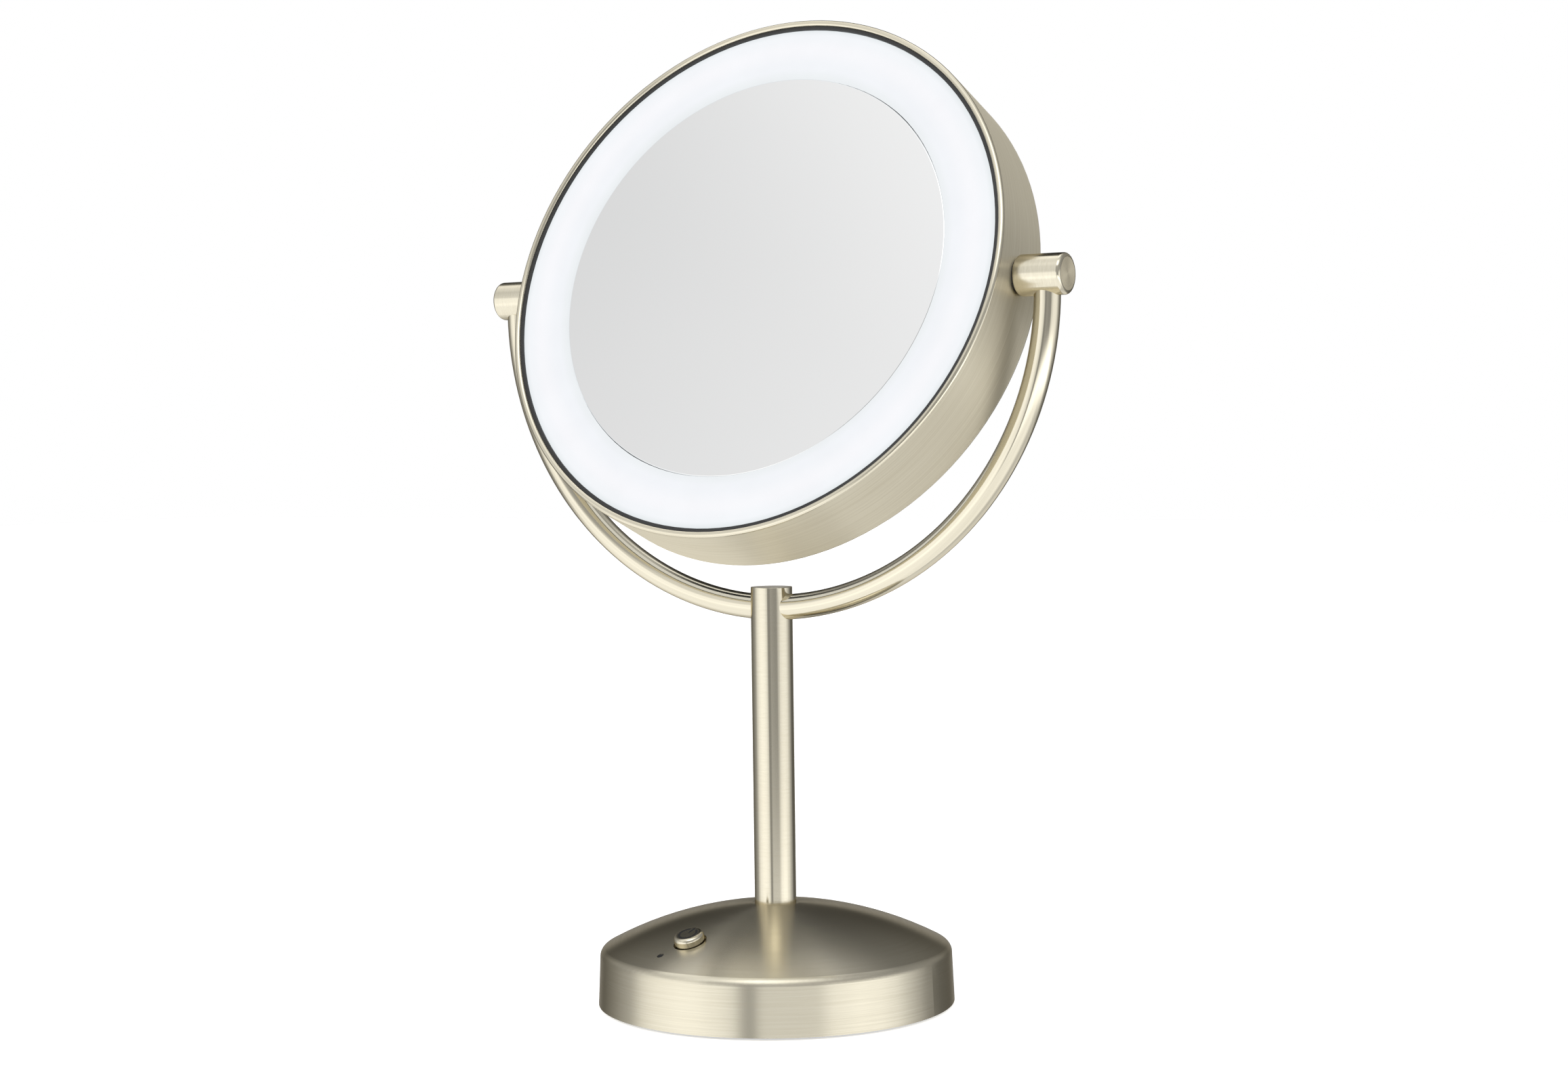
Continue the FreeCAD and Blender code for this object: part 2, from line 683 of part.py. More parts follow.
def head_chassis():
    """A disc with ring walls on both faces, cut away at the two brackets."""
    front_wall_end = MIRROR_FRONT - GLASS - PAD_THICK
    floor = REFLECTOR_FLOOR
    body = cylinder(CHASSIS_R, -CHASSIS_HALF, CHASSIS_HALF, Y_AXIS)
    for radius in MIRROR_WALLS_R:
        body = body.fuse(ring(radius, radius + CHASSIS_WALL, -front_wall_end, rear_wall_end(), Y_AXIS))
    for radius in CHANNEL_WALLS_R:
        body = body.fuse(ring(radius, radius + CHASSIS_WALL, -floor, floor + REAR_SHIFT, Y_AXIS))
    seat = BRACKET_HALF_Z + 0.1
    for side in SIDES.values():
        pocket = block((BRACKET_IN - 3, -HEAD_FRONT, -seat), (HEAD_R, HEAD_BACK, seat))
        body = body.cut(on_side(pocket, side))
        for end in (-1, 1):
            z_edges = sorted((end * seat, end * (seat + BOSS_HEIGHT)))
            boss = block((BRACKET_IN, -BRACKET_HALF_Y, z_edges[0]),
                         (BRACKET_WEB_IN - 3, BRACKET_HALF_Y, z_edges[1]))
            body = body.fuse(on_side(boss, side))
    for screw in bracket_screws():
        body = body.cut(screw)
    for index in range(LIGHTENING_HOLES):
        foot = Vec(LIGHTENING_CIRCLE_R, -HEAD_FRONT, 0)
        hole = Part.makeCylinder(LIGHTENING_HOLE_R, HEAD_FRONT + HEAD_BACK, foot, Y_AXIS)
        hole.rotate(ORIGIN, Y_AXIS, 360.0 * (index + 0.5) / LIGHTENING_HOLES)
        body = body.cut(hole)
    return body.removeSplitter()


def reflector(front):
    """White channel behind the diffuser."""
    wall = REFLECTOR_WALL
    floor_top = REFLECTOR_FLOOR + wall
    outline = [
        (REFLECTOR_R_IN, -REFLECTOR_FLOOR),
        (REFLECTOR_R_OUT, -REFLECTOR_FLOOR),
        (REFLECTOR_R_OUT, -REFLECTOR_TOP),
        (REFLECTOR_R_OUT - wall, -REFLECTOR_TOP),
        (REFLECTOR_R_OUT - wall, -floor_top),
        (STRIP_R, -floor_top),
        (STRIP_R, -REFLECTOR_TOP),
        (REFLECTOR_R_IN, -REFLECTOR_TOP),
    ]
    body = turned(outline)
    hole = Part.makeCylinder(LEAD_R + 0.4, 4, Vec(-head_lead_x(), -REFLECTOR_FLOOR - 2, 0), Y_AXIS)
    for sign in (-1, 1):
        spot = hole.translated(Vec(0, 0, sign * LEAD_SPACING / 2))
        body = body.cut(spot)
    return front_and_back(body, front)


def led_strips():
    strip = ring(STRIP_R, STRIP_R + STRIP_THICK, -STRIP_OUT, -STRIP_IN, Y_AXIS)
    return [front_and_back(strip, front) for front in (True, False)]


def led_group(front):
    """Side-firing emitters that look outwards from the strip."""
    middle = (STRIP_IN + STRIP_OUT) / 2
    seat = STRIP_R + STRIP_THICK - 0.02
    chips = []
    for index in range(LED_COUNT):
        chip = block((seat, -middle - LED_SIZE[2] / 2, -LED_SIZE[1] / 2),
                     (seat + LED_SIZE[0], -middle + LED_SIZE[2] / 2, LED_SIZE[1] / 2))
        chip = chip.cut(cylinder(STRIP_R + STRIP_THICK, -STRIP_OUT, -STRIP_IN, Y_AXIS))
        chip.rotate(ORIGIN, Y_AXIS, 360.0 * (index + 0.5) / LED_COUNT)
        chips.append(front_and_back(chip, front))
    return chips


def head_lead_x():
    """Distance from the middle at which the head's leads turn towards the two light channels."""
    return BRACKET_IN - 3.0


def head_leads():
    """Two wires through the left shaft, one to each light channel."""
    wires = []
    for facing, shift in ((-1, 0.0), (1, REAR_SHIFT)):
        z = facing * LEAD_SPACING / 2
        end_y = facing * (REFLECTOR_FLOOR + 3.5 + shift)
        corners = [
            Vec(-(SHAFT_OUT + 0.2), 0, z),
            Vec(-head_lead_x(), 0, z),
            Vec(-head_lead_x(), end_y, z),
        ]
        wires.append(lead(corners, [4.5]))
    return wires


# ---------- front controls ----------

def on_dome(shape):
    """Move a part made about +Z, outwards along +X, onto the button's place on the dome."""
    moved = shape.copy()
    moved.rotate(ORIGIN, Y_AXIS, CONTROL_SLOPE)
    moved.translate(Vec(BUTTON_RADIUS, 0, BUTTON_Z))
    moved.rotate(ORIGIN, Z_AXIS, CONTROL_ANGLE)
    return moved


def dome_point(outwards, sideways, depth):
    """A point in the controls' own frame, given in the part's frame."""
    marker = Part.Vertex(outwards, sideways, depth)
    return on_dome(marker).Point


def at_indicator(shape):
    """Move a part made about +Z to the indicator's place in the controls' own frame."""
    return shape.translated(Vec(INDICATOR_OUT, INDICATOR_SIDE, 0))


def power_button():
    cap = cylinder(BUTTON_R, BUTTON_SEAT, BUTTON_PROUD)
    cap = round_edges(cap, BUTTON_ROUND, circle_at(BUTTON_R, Z_AXIS, BUTTON_PROUD))
    body = cap.fuse(cylinder(BUTTON_FLANGE_R, BUTTON_FLANGE_LOW, BUTTON_SEAT))
    body = body.fuse(cylinder(BUTTON_STEM_R, BUTTON_STEM_LOW, BUTTON_FLANGE_LOW))
    for stroke in icon_strokes():
        body = body.cut(stroke)
    return on_dome(body.removeSplitter())


def icon_strokes():
    """A broken ring and a short line that points to the post."""
    low = BUTTON_PROUD - ICON_DEPTH
    half_line = ICON_LINE / 2
    half_gap = ICON_LINE * 1.4
    circle = ring(ICON_R - ICON_LINE, ICON_R, low, BUTTON_PROUD)
    circle = circle.cut(block((-ICON_R - 1, -half_gap, low), (0, half_gap, BUTTON_PROUD)))
    line = block((-ICON_R - 0.3, -half_line, low), (-0.6, half_line, BUTTON_PROUD))
    return [circle, line]


def power_icon():
    return [on_dome(stroke) for stroke in icon_strokes()]


def button_guide():
    """Holds the button's stem square above the switch."""
    plate_low = GUIDE_TOP - GUIDE_THICK
    plate = ring(BUTTON_STEM_R + SNUG, GUIDE_R, plate_low, GUIDE_TOP)
    for side in (-1, 1):
        y_edges = sorted((side * GUIDE_FOOT_IN, side * GUIDE_FOOT_OUT))
        plate = plate.fuse(block((-GUIDE_FOOT_HALF, y_edges[0], BOARD_TOP),
                                 (GUIDE_FOOT_HALF, y_edges[1], plate_low)))
    return on_dome(plate)


def switch_plunger():
    return on_dome(cylinder(PLUNGER_R, PLUNGER_LOW, BUTTON_STEM_LOW))


def tact_switch():
    body = block((-SWITCH_HALF, -SWITCH_HALF, BOARD_TOP), (SWITCH_HALF, SWITCH_HALF, SWITCH_TOP))
    return on_dome(body.cut(cylinder(PLUNGER_R + SNUG, SWITCH_WELL, SWITCH_TOP + 1)))


def light_pipe():
    return on_dome(at_indicator(cylinder(PIPE_R, PIPE_LOW, PIPE_LOW + PIPE_LENGTH)))


def control_board():
    board = block((BOARD_IN, -BOARD_HALF_W, BOARD_TOP - BOARD_THICK),
                  (BOARD_OUT, BOARD_HALF_W, BOARD_TOP))
    for screw in board_screw_set():
        board = board.cut(screw)
    return on_dome(board)


def board_screw_set():
    screws = []
    for outwards in BOARD_SCREWS_OUT:
        for side in (-1, 1):
            foot = Vec(outwards, side * RIB_OFFSET, BOARD_TOP)
            head = Part.makeCylinder(BOARD_SCREW_HEAD_R, BOARD_SCREW_HEAD, foot)
            shank = Part.makeCylinder(BOARD_SCREW_R, BOARD_SCREW_SHANK, foot, Z_AXIS * -1)
            screws.append(head.fuse(shank))
    return screws


def board_screws():
    return [on_dome(screw) for screw in board_screw_set()]


def board_parts():
    """Connectors, the indicator emitter, a driver coil and two chips on the control board."""
    top = BOARD_TOP
    start = BOARD_IN + 1.0
    end = start + CONNECTOR_LENGTH
    places = [
        ((start, -7.0, top), (end, -1.0, top + CONNECTOR_HEIGHT)),
        ((start, 5.0, top), (end, 9.6, top + CONNECTOR_HEIGHT)),
        ((start, 9.9, top), (end, 10.3, top + 1.0)),
        ((-13.0, -4.0, top), (-8.0, 1.0, top + CHIP_HEIGHT)),
        ((4.5, -9.5, top), (9.5, -4.5, top + CHIP_HEIGHT)),
    ]
    parts = [on_dome(block(low, high)) for low, high in places]
    emitter = block((-0.8, -0.6, top), (0.8, 0.6, top + 0.8))
    parts.append(on_dome(at_indicator(emitter)))
    coil = Part.makeCylinder(COIL_R, COIL_HEIGHT, Vec(-11.0, 6.0, top))
    parts.append(on_dome(coil))
    return parts


def board_bracket():
    """Two ribs with sloping tops that carry the control board above the ballast."""
    seat = BOARD_TOP - BOARD_THICK
    slope = math.radians(CONTROL_SLOPE)

    def outline_point(outwards):
        radius = BUTTON_RADIUS + outwards * math.cos(slope) + seat * math.sin(slope)
        height = BUTTON_Z - outwards * math.sin(slope) + seat * math.cos(slope)
        return radius, height

    r_in, z_in = outline_point(BOARD_IN + 2)
    r_out, z_out = outline_point(BOARD_OUT - 2)
    bracket = block((r_in, -RIB_OFFSET, BALLAST_TOP), (r_out, RIB_OFFSET, BALLAST_TOP + BRACKET_FLOOR))
    for side in (-1, 1):
        y = side * RIB_OFFSET - RIB_THICK / 2
        corners = [
            Vec(r_in, y, BALLAST_TOP),
            Vec(r_out, y, BALLAST_TOP),
            Vec(r_out, y, z_out),
            Vec(r_in, y, z_in),
        ]
        rib = Part.Face(Part.makePolygon(corners + corners[:1])).extrude(Y_AXIS * RIB_THICK)
        bracket = bracket.fuse(rib)
    bracket = bracket.removeSplitter()
    bracket.rotate(ORIGIN, Z_AXIS, CONTROL_ANGLE)
    for screw in board_screws():
        bracket = bracket.cut(screw)
    return bracket


# ---------- power ----------

def along_cell(radius, half_length):
    start = Vec(-half_length, CELL_Y, CELL_Z)
    return Part.makeCylinder(radius, 2 * half_length, start, X_AXIS)


def battery_cell():
    can = along_cell(CELL_R, CELL_LENGTH / 2 - CELL_BUTTON)
    button = along_cell(CELL_BUTTON_R, CELL_LENGTH / 2)
    return can.fuse(button)


def battery_cradle():
    """A tray for the cell, with a tongue that carries the socket board."""
    half_length = CELL_LENGTH / 2 + CRADLE_END
    half_width = CELL_R + CRADLE_WALL
    tray = block((-half_length, CELL_Y - half_width, BALLAST_TOP),
                 (half_length, CELL_Y + half_width, CRADLE_TOP))
    tongue_top = SOCKET_Z - SOCKET_SIZE[1] / 2 - SOCKET_BOARD_THICK
    tray = tray.fuse(block((-SOCKET_BOARD_HALF, CELL_Y, BALLAST_TOP),
                           (SOCKET_BOARD_HALF, TONGUE_END_Y, tongue_top)))
    tray = tray.cut(along_cell(CELL_R + SNUG, CELL_LENGTH / 2))
    for plate in battery_contacts():
        tray = tray.cut(plate)
    return tray


def battery_contacts():
    inner = CELL_LENGTH / 2
    plate = block((inner, CELL_Y - CONTACT_HALF, CONTACT_LOW),
                  (inner + CONTACT_THICK, CELL_Y + CONTACT_HALF, CELL_Z + CONTACT_HALF))
    return both_sides(plate)


def charge_socket():
    width, height = SOCKET_SIZE
    inset = 2 * SOCKET_WALL
    back = SOCKET_MOUTH_Y - SOCKET_DEPTH
    shell = stadium(width, height, back, SOCKET_MOUTH_Y)
    shell = shell.cut(stadium(width - inset, height - inset, back + 0.8, SOCKET_MOUTH_Y + 1))
    half_width, half_thick = SOCKET_TONGUE_HALF
    tongue = block((-half_width, back + 0.5, -half_thick), (half_width, SOCKET_MOUTH_Y - 1.4, half_thick))
    return shell.fuse(tongue).translated(Vec(0, 0, SOCKET_Z))


def socket_board():
    top = SOCKET_Z - SOCKET_SIZE[1] / 2
    return block((-SOCKET_BOARD_HALF, SOCKET_BOARD_Y[0], top - SOCKET_BOARD_THICK),
                 (SOCKET_BOARD_HALF, SOCKET_BOARD_Y[1], top))


def connector_run(sideways, depth):
    """The last two points of a lead that ends in a connector on the control board."""
    return [dome_point(-31.0, sideways, depth), dome_point(BOARD_IN + 1.0, sideways, depth)]


def battery_leads():
    """Two wires from the cradle to the board and one round the back that joins the far contact."""
    near = -(CELL_LENGTH / 2 + CRADLE_END + LEAD_R)
    low = BALLAST_TOP + LEAD_R + 0.3
    wires = []
    for index in range(2):
        rise = index * LEAD_SPACING
        corners = [
            Vec(near, CELL_Y - 3, low + rise),
            Vec(near, -6, low + rise),
            Vec(-24, -13, 24 + rise),
        ]
        corners += connector_run(-3.2 - index * 2.0, BOARD_TOP + 2.4)
        wires.append(lead(corners, [6.0, 5.0, 4.0]))
    far = -near + 1.3
    back = CELL_Y + CELL_R + 3.3 + LEAD_R
    level = low + LEAD_SPACING
    corners = [
        Vec(far, CELL_Y, level),
        Vec(far, back, level),
        Vec(-far, back, level),
        Vec(-far, CELL_Y + 1, level),
    ]
    wires.append(lead(corners, [3.0, 3.0]))
    return wires


def socket_lead():
    start_z = SOCKET_Z - SOCKET_SIZE[1] / 2 + LEAD_R
    corners = [
        Vec(5.5, SOCKET_BOARD_Y[0], start_z),
        Vec(5.5, 45, start_z),
        Vec(40, 43, start_z),
        Vec(43, -6, start_z + 2),
        Vec(24, -19, 26),
    ]
    corners += connector_run(10.1, BOARD_TOP + 1.0 + LEAD_R)
    return lead(corners, [4.0, 8.0, 10.0, 6.0, 4.0])


def yoke_leads():
    """Two wires side by side: from the board, up the post, round the left arm, to the shaft."""
    wires = []
    turn_x = 3.2
    for index, sign in enumerate((-1, 1)):
        y = sign * LEAD_SPACING / 2
        drop = index * LEAD_SPACING
        corners = [
            Vec(-(SHAFT_OUT + 0.4), y, PIVOT_Z),
            Vec(-YOKE_R, y, PIVOT_Z),
            Vec(-YOKE_R, y, YOKE_CENTRE_Z - YOKE_R),
            Vec(turn_x, y, YOKE_CENTRE_Z - YOKE_R),
            Vec(turn_x, y, 32.6 - drop),
        ]
        corners += connector_run(7.3, BOARD_TOP + 3.0 - drop)
        wires.append(lead(corners, [2.6, YOKE_R - 0.2, turn_x - 0.1, 3.0, 4.0]))
    return wires


# ---------- the whole object ----------

def all_nodes():
    nodes = {
        "base_shell": base_shell(),
        "base_bottom_plate": base_bottom_plate(),
        "foot_ring": foot_ring(),
        "bottom_screws": bottom_screw_group(),
        "ballast_weight": ballast_weight(),
        "spacer_sleeve": spacer_sleeve(),
        "stem_stud": stem_stud(),
        "stem_washer": stem_washer(),
        "stem_nut": stem_nut(),
        "stem_tube": stem_tube(),
        "stem_plug": stem_plug(),
        "stem_cap": stem_cap(),
        "pivot_caps": pivot_caps(),
        "friction_washers": friction_washers(),
        "thrust_washers": thrust_washers(),
        "stop_pin": stop_pin(),
        "pivot_shafts": tilted_group(pivot_shafts()),
        "pivot_brackets": tilted_group(pivot_brackets()),
        "shaft_nuts": tilted_group(shaft_nuts()),
        "shaft_washers": tilted_group(shaft_washers()),
        "bracket_screws": tilted_group(bracket_screws()),
        "head_shell": tilted(head_shell()),
        "front_mirror": tilted(front_mirror()),
        "rear_mirror": tilted(rear_mirror()),
        "front_mirror_pad": tilted(front_mirror_pad()),
        "rear_mirror_pad": tilted(rear_mirror_pad()),
        "head_chassis": tilted(head_chassis()),
        "led_strips": tilted_group(led_strips()),
        "head_leads": tilted_group(head_leads()),
        "power_button": power_button(),
        "power_icon": power_icon(),
        "button_guide": button_guide(),
        "switch_plunger": switch_plunger(),
        "tact_switch": tact_switch(),
        "light_pipe": light_pipe(),
        "control_board": control_board(),
        "board_screws": board_screws(),
        "board_parts": board_parts(),
        "board_bracket": board_bracket(),
        "battery_cell": battery_cell(),
        "battery_cradle": battery_cradle(),
        "battery_contacts": battery_contacts(),
        "battery_leads": battery_leads(),
        "charge_socket": charge_socket(),
        "socket_board": socket_board(),
        "socket_lead": socket_lead(),
        "yoke_leads": yoke_leads(),
    }
    for name, side in SIDES.items():
        nodes["yoke_arm_" + name] = yoke_arm(side)
        nodes["pivot_barrel_" + name] = pivot_barrel(side)
    for name, front in (("front", True), ("rear", False)):
        nodes[name + "_bezel"] = tilted(bezel(front))
        nodes[name + "_diffuser"] = tilted(diffuser(front))
        nodes[name + "_reflector"] = tilted(reflector(front))
        nodes[name + "_leds"] = tilted_group(led_group(front))
    return nodes


def tilted_group(shapes):
    return [tilted(shape) for shape in shapes]


def export_nodes(nodes):
    os.makedirs("parts", exist_ok=True)
    for name, shape in nodes.items():
        if isinstance(shape, list):
            shape = Part.makeCompound(shape)
        shape.exportStep("parts/" + name + ".step")
        print(name, len(shape.Solids), "solids", round(shape.Volume, 1), "mm3", shape.isValid())


export_nodes(all_nodes())
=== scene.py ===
import json
import math

import bpy
from mathutils import Matrix, Vector


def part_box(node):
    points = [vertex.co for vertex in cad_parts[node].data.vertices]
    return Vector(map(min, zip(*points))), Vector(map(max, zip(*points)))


# Looks for the lighted vanity mirror: finishes, studio surroundings and camera. Metres, in the
# part's own frame. The yoke lies in the XZ plane and the lit face looks towards -Y.

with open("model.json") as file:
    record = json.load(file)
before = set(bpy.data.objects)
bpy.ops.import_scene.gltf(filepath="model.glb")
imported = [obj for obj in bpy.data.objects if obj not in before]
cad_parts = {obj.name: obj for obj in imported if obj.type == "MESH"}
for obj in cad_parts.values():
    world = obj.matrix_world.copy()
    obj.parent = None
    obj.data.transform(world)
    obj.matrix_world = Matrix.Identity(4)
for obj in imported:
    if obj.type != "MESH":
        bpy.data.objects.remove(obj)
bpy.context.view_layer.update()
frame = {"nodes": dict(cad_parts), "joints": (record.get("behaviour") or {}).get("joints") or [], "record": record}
nodes = frame["nodes"]

# Camera, as distances and angles about the part's upright axis
CAMERA_AZIMUTH = math.radians(31.24)
CAMERA_DISTANCE = 1.013
CAMERA_HEIGHT = 0.215
CAMERA_PITCH = math.radians(-1.99)
CAMERA_YAW = math.radians(-0.29)
CAMERA_ROLL = math.radians(-0.75)
CAMERA_LENS = 59.97
SENSOR_WIDTH = 36.0
CLIP_NEAR = 0.05
CLIP_FAR = 30.0

# Places and axes of the turned parts
ORIGIN = Vector((0.0, 0.0, 0.0))
UP = Vector((0.0, 0.0, 1.0))
ACROSS = Vector((1.0, 0.0, 0.0))
BACKWARDS = Vector((0.0, 1.0, 0.0))
YOKE_CENTRE = Vector((0.0, 0.0, 0.273))
PIVOT = Vector((0.0, 0.0, 0.2775))
REST_TILT = math.radians(20.9)
HEAD_AXIS = Vector((0.0, -math.cos(REST_TILT), math.sin(REST_TILT)))

# The head's light ring and its shell: radii, and how far each lip lies from the pivots' plane
RING_INNER = 0.0829
RING_OUTER = 0.1035
HEAD_RADIUS = 0.1073
LIP_FRONT = 0.0162
LIP_BACK = 0.0182
LIP_ROUND = 0.0012
LIP_INNER = 0.1051
LIP_INNER_ROUND = 0.0007


# ---------- node helpers ----------

# Noise seldom leaves this range, so it is what gets spread over a tone or a roughness
NOISE_LOW = 0.3
NOISE_HIGH = 0.7
NOISE_ROUGHNESS = 0.55


def new_tree(name):
    """An empty surface material: returns it with its tree."""
    material = bpy.data.materials.new(name)
    material.use_nodes = True
    material.node_tree.nodes.clear()
    return material, material.node_tree


def add(tree, kind, **settings):
    """Add one node and set its own properties."""
    made = tree.nodes.new("ShaderNode" + kind)
    for key, value in settings.items():
        setattr(made, key, value)
    return made


def plug(tree, socket, value):
    """Link a socket to another, or set it to a plain value."""
    if isinstance(value, bpy.types.NodeSocket):
        tree.links.new(value, socket)
    else:
        socket.default_value = value


def maths(tree, operation, *values, clamp=False):
    """One operation on numbers."""
    made = add(tree, "Math", operation=operation, use_clamp=clamp)
    for socket, value in zip(made.inputs, values):
        plug(tree, socket, value)
    return made.outputs[0]


def vectors(tree, operation, *values):
    """One operation on vectors; its result is a number for a dot product or a length."""
    made = add(tree, "VectorMath", operation=operation)
    for socket, value in zip(made.inputs, values):
        plug(tree, socket, value)
    if operation in ("DOT_PRODUCT", "LENGTH"):
        return made.outputs["Value"]
    return made.outputs["Vector"]


def scaled(tree, vector, factor):
    """A vector times a number."""
    made = add(tree, "VectorMath", operation="SCALE")
    plug(tree, made.inputs[0], vector)
    plug(tree, made.inputs["Scale"], factor)
    return made.outputs["Vector"]


def ramp(tree, value, stops, smooth=True):
    """A colour ramp from (position, colour or grey) stops."""
    made = add(tree, "ValToRGB")
    band = made.color_ramp
    band.interpolation = "EASE" if smooth else "LINEAR"
    while len(band.elements) < len(stops):
        band.elements.new(0.5)
    for element, (position, shade) in zip(band.elements, stops):
        element.position = position
        colour = shade if isinstance(shade, tuple) else (shade, shade, shade)
        element.color = (*colour, 1.0)
    plug(tree, made.inputs[0], value)
    return made.outputs["Color"]


def noise(tree, vector, scale, detail=3.0):
    """Smooth noise, from 0 to 1."""
    made = add(tree, "TexNoise")
    plug(tree, made.inputs["Vector"], vector)
    made.inputs["Scale"].default_value = scale
    made.inputs["Detail"].default_value = detail
    made.inputs["Roughness"].default_value = NOISE_ROUGHNESS
    return made.outputs["Fac"]


def span(tree, value, low, high, from_low=0.0, from_high=1.0):
    """Take a range of values to another, clamped at both ends."""
    made = add(tree, "MapRange")
    plug(tree, made.inputs["Value"], value)
    made.inputs["From Min"].default_value = from_low
    made.inputs["From Max"].default_value = from_high
    made.inputs["To Min"].default_value = low
    made.inputs["To Max"].default_value = high
    return made.outputs["Result"]


def spread(tree, value, low, high):
    """Spread a noise's usual range over another."""
    return span(tree, value, low, high, NOISE_LOW, NOISE_HIGH)


def mixed(tree, factor, first, second):
    """A colour between two."""
    made = add(tree, "Mix", data_type="RGBA")
    plug(tree, made.inputs["Factor"], factor)
    plug(tree, made.inputs["A"], first)
    plug(tree, made.inputs["B"], second)
    return made.outputs["Result"]


def bumped(tree, height, strength, distance, normal=None):
    """A normal that follows a height, over the mesh's own normal or a given one."""
    made = add(tree, "Bump")
    made.inputs["Strength"].default_value = strength
    made.inputs["Distance"].default_value = distance
    plug(tree, made.inputs["Height"], height)
    if normal:
        plug(tree, made.inputs["Normal"], normal)
    return made.outputs["Normal"]


def in_world(tree, vector, kind):
    """A direction (VECTOR) or a normal (NORMAL) of the object's frame, in the world's."""
    made = add(tree, "VectorTransform", vector_type=kind, convert_from="OBJECT", convert_to="WORLD")
    plug(tree, made.inputs[0], vector)
    return made.outputs[0]


def finished(tree, **inputs):
    """The Principled shader and the output; underscores in the names stand for spaces."""
    shader = add(tree, "BsdfPrincipled")
    for name, value in inputs.items():
        plug(tree, shader.inputs[name.replace("_", " ")], value)
    output = add(tree, "OutputMaterial")
    tree.links.new(shader.outputs[0], output.inputs["Surface"])


def place(tree):
    """The point being shaded, in the object's frame."""
    return add(tree, "TexCoord").outputs["Object"]


# ---------- brushed metal ----------

NICKEL = (0.755, 0.712, 0.585)
NICKEL_DARK = (0.64, 0.59, 0.462)
NICKEL_AT_GRAZING = (0.86, 0.80, 0.68, 1.0)

# Brushing: how fine its lines and clouds are, and how much they change tone, gloss and height
FINE_LINES = 3200.0
BROAD_LINES = 1300.0
FINE_SHARE = 0.55
METAL_CLOUDS = 18.0
CLOUD_TONE = 0.08
LINE_ROUGHNESS = 0.035
LINE_STRENGTH = 0.15
LINE_DEPTH = 0.00002

# Share of a turn that spreads the highlight across the lines instead of along them
HIGHLIGHT_TURN = 0.25

# How much each line changes along its own length
TURNED_DRIFT = 0.0008
ARC_DRIFT = 0.0015

# The lips' polish, as a factor on the roughness, and how far from the lip's end it starts and is full
POLISH = 0.34
POLISH_START = 0.0014
POLISH_FULL = 0.0009


def turned_place(tree, centre, axis):
    """Coordinates about an axis: distance along it, radius, unit direction outwards."""
    offset = vectors(tree, "SUBTRACT", place(tree), tuple(centre))
    along = vectors(tree, "DOT_PRODUCT", offset, tuple(axis))
    outwards = vectors(tree, "SUBTRACT", offset, scaled(tree, tuple(axis), along))
    radius = vectors(tree, "LENGTH", outwards)
    return along, radius, vectors(tree, "NORMALIZE", outwards)


def turned_grain(tree, centre, axis):
    """Vectors whose noise runs in fine lines round the axis, and the tangent of those lines."""
    along, radius, outwards = turned_place(tree, centre, axis)
    depth = maths(tree, "ADD", along, radius)
    line = vectors(tree, "ADD", scaled(tree, outwards, TURNED_DRIFT), scaled(tree, tuple(axis), depth))
    tangent = vectors(tree, "CROSS_PRODUCT", tuple(axis), outwards)
    return line, tangent


def around(centre, axis):
    """The grain of a part turned about this axis."""
    return lambda tree: turned_grain(tree, centre, axis)


def arc_grain(tree):
    """Lines that run along the yoke's bent tube."""
    along, radius, outwards = turned_place(tree, YOKE_CENTRE, BACKWARDS)
    across = add(tree, "CombineXYZ")
    plug(tree, across.inputs["X"], radius)
    plug(tree, across.inputs["Y"], along)
    line = vectors(tree, "ADD", across.outputs[0], scaled(tree, outwards, ARC_DRIFT))
    tangent = vectors(tree, "CROSS_PRODUCT", tuple(BACKWARDS), outwards)
    return line, tangent


def brushed(name, grain, roughness, anisotropy, contrast=1.0, polished=None, form=None):
    """Satin nickel plate over brushing that follows the grain.

    polished gives a factor on the roughness, and form gives the exact normal of a turned form.
    """
    material, tree = new_tree(name)
    line, tangent = grain(tree)
    fine = maths(tree, "MULTIPLY", noise(tree, line, FINE_LINES, detail=2.0), FINE_SHARE)
    broad = maths(tree, "MULTIPLY", noise(tree, line, BROAD_LINES, detail=2.0), 1.0 - FINE_SHARE)
    streak = maths(tree, "ADD", fine, broad)
    cloud = spread(tree, noise(tree, place(tree), METAL_CLOUDS, detail=2.0), -CLOUD_TONE, CLOUD_TONE)
    shade = spread(tree, streak, 0.5 - 0.5 * contrast, 0.5 + 0.5 * contrast)
    shade = maths(tree, "ADD", shade, cloud, clamp=True)
    swing = LINE_ROUGHNESS * contrast
    rough = spread(tree, streak, roughness + swing, roughness - swing)
    if polished:
        rough = maths(tree, "MULTIPLY", rough, polished(tree))
    normal = in_world(tree, form(tree), "NORMAL") if form else None
    finished(
        tree,
        Base_Color=mixed(tree, shade, (*NICKEL_DARK, 1.0), (*NICKEL, 1.0)),
        Metallic=1.0,
        Roughness=rough,
        Anisotropic=anisotropy,
        Anisotropic_Rotation=HIGHLIGHT_TURN,
        Specular_Tint=NICKEL_AT_GRAZING,
        Tangent=in_world(tree, tangent, "VECTOR"),
        Normal=bumped(tree, streak, LINE_STRENGTH * contrast, LINE_DEPTH, normal),
    )
    return material


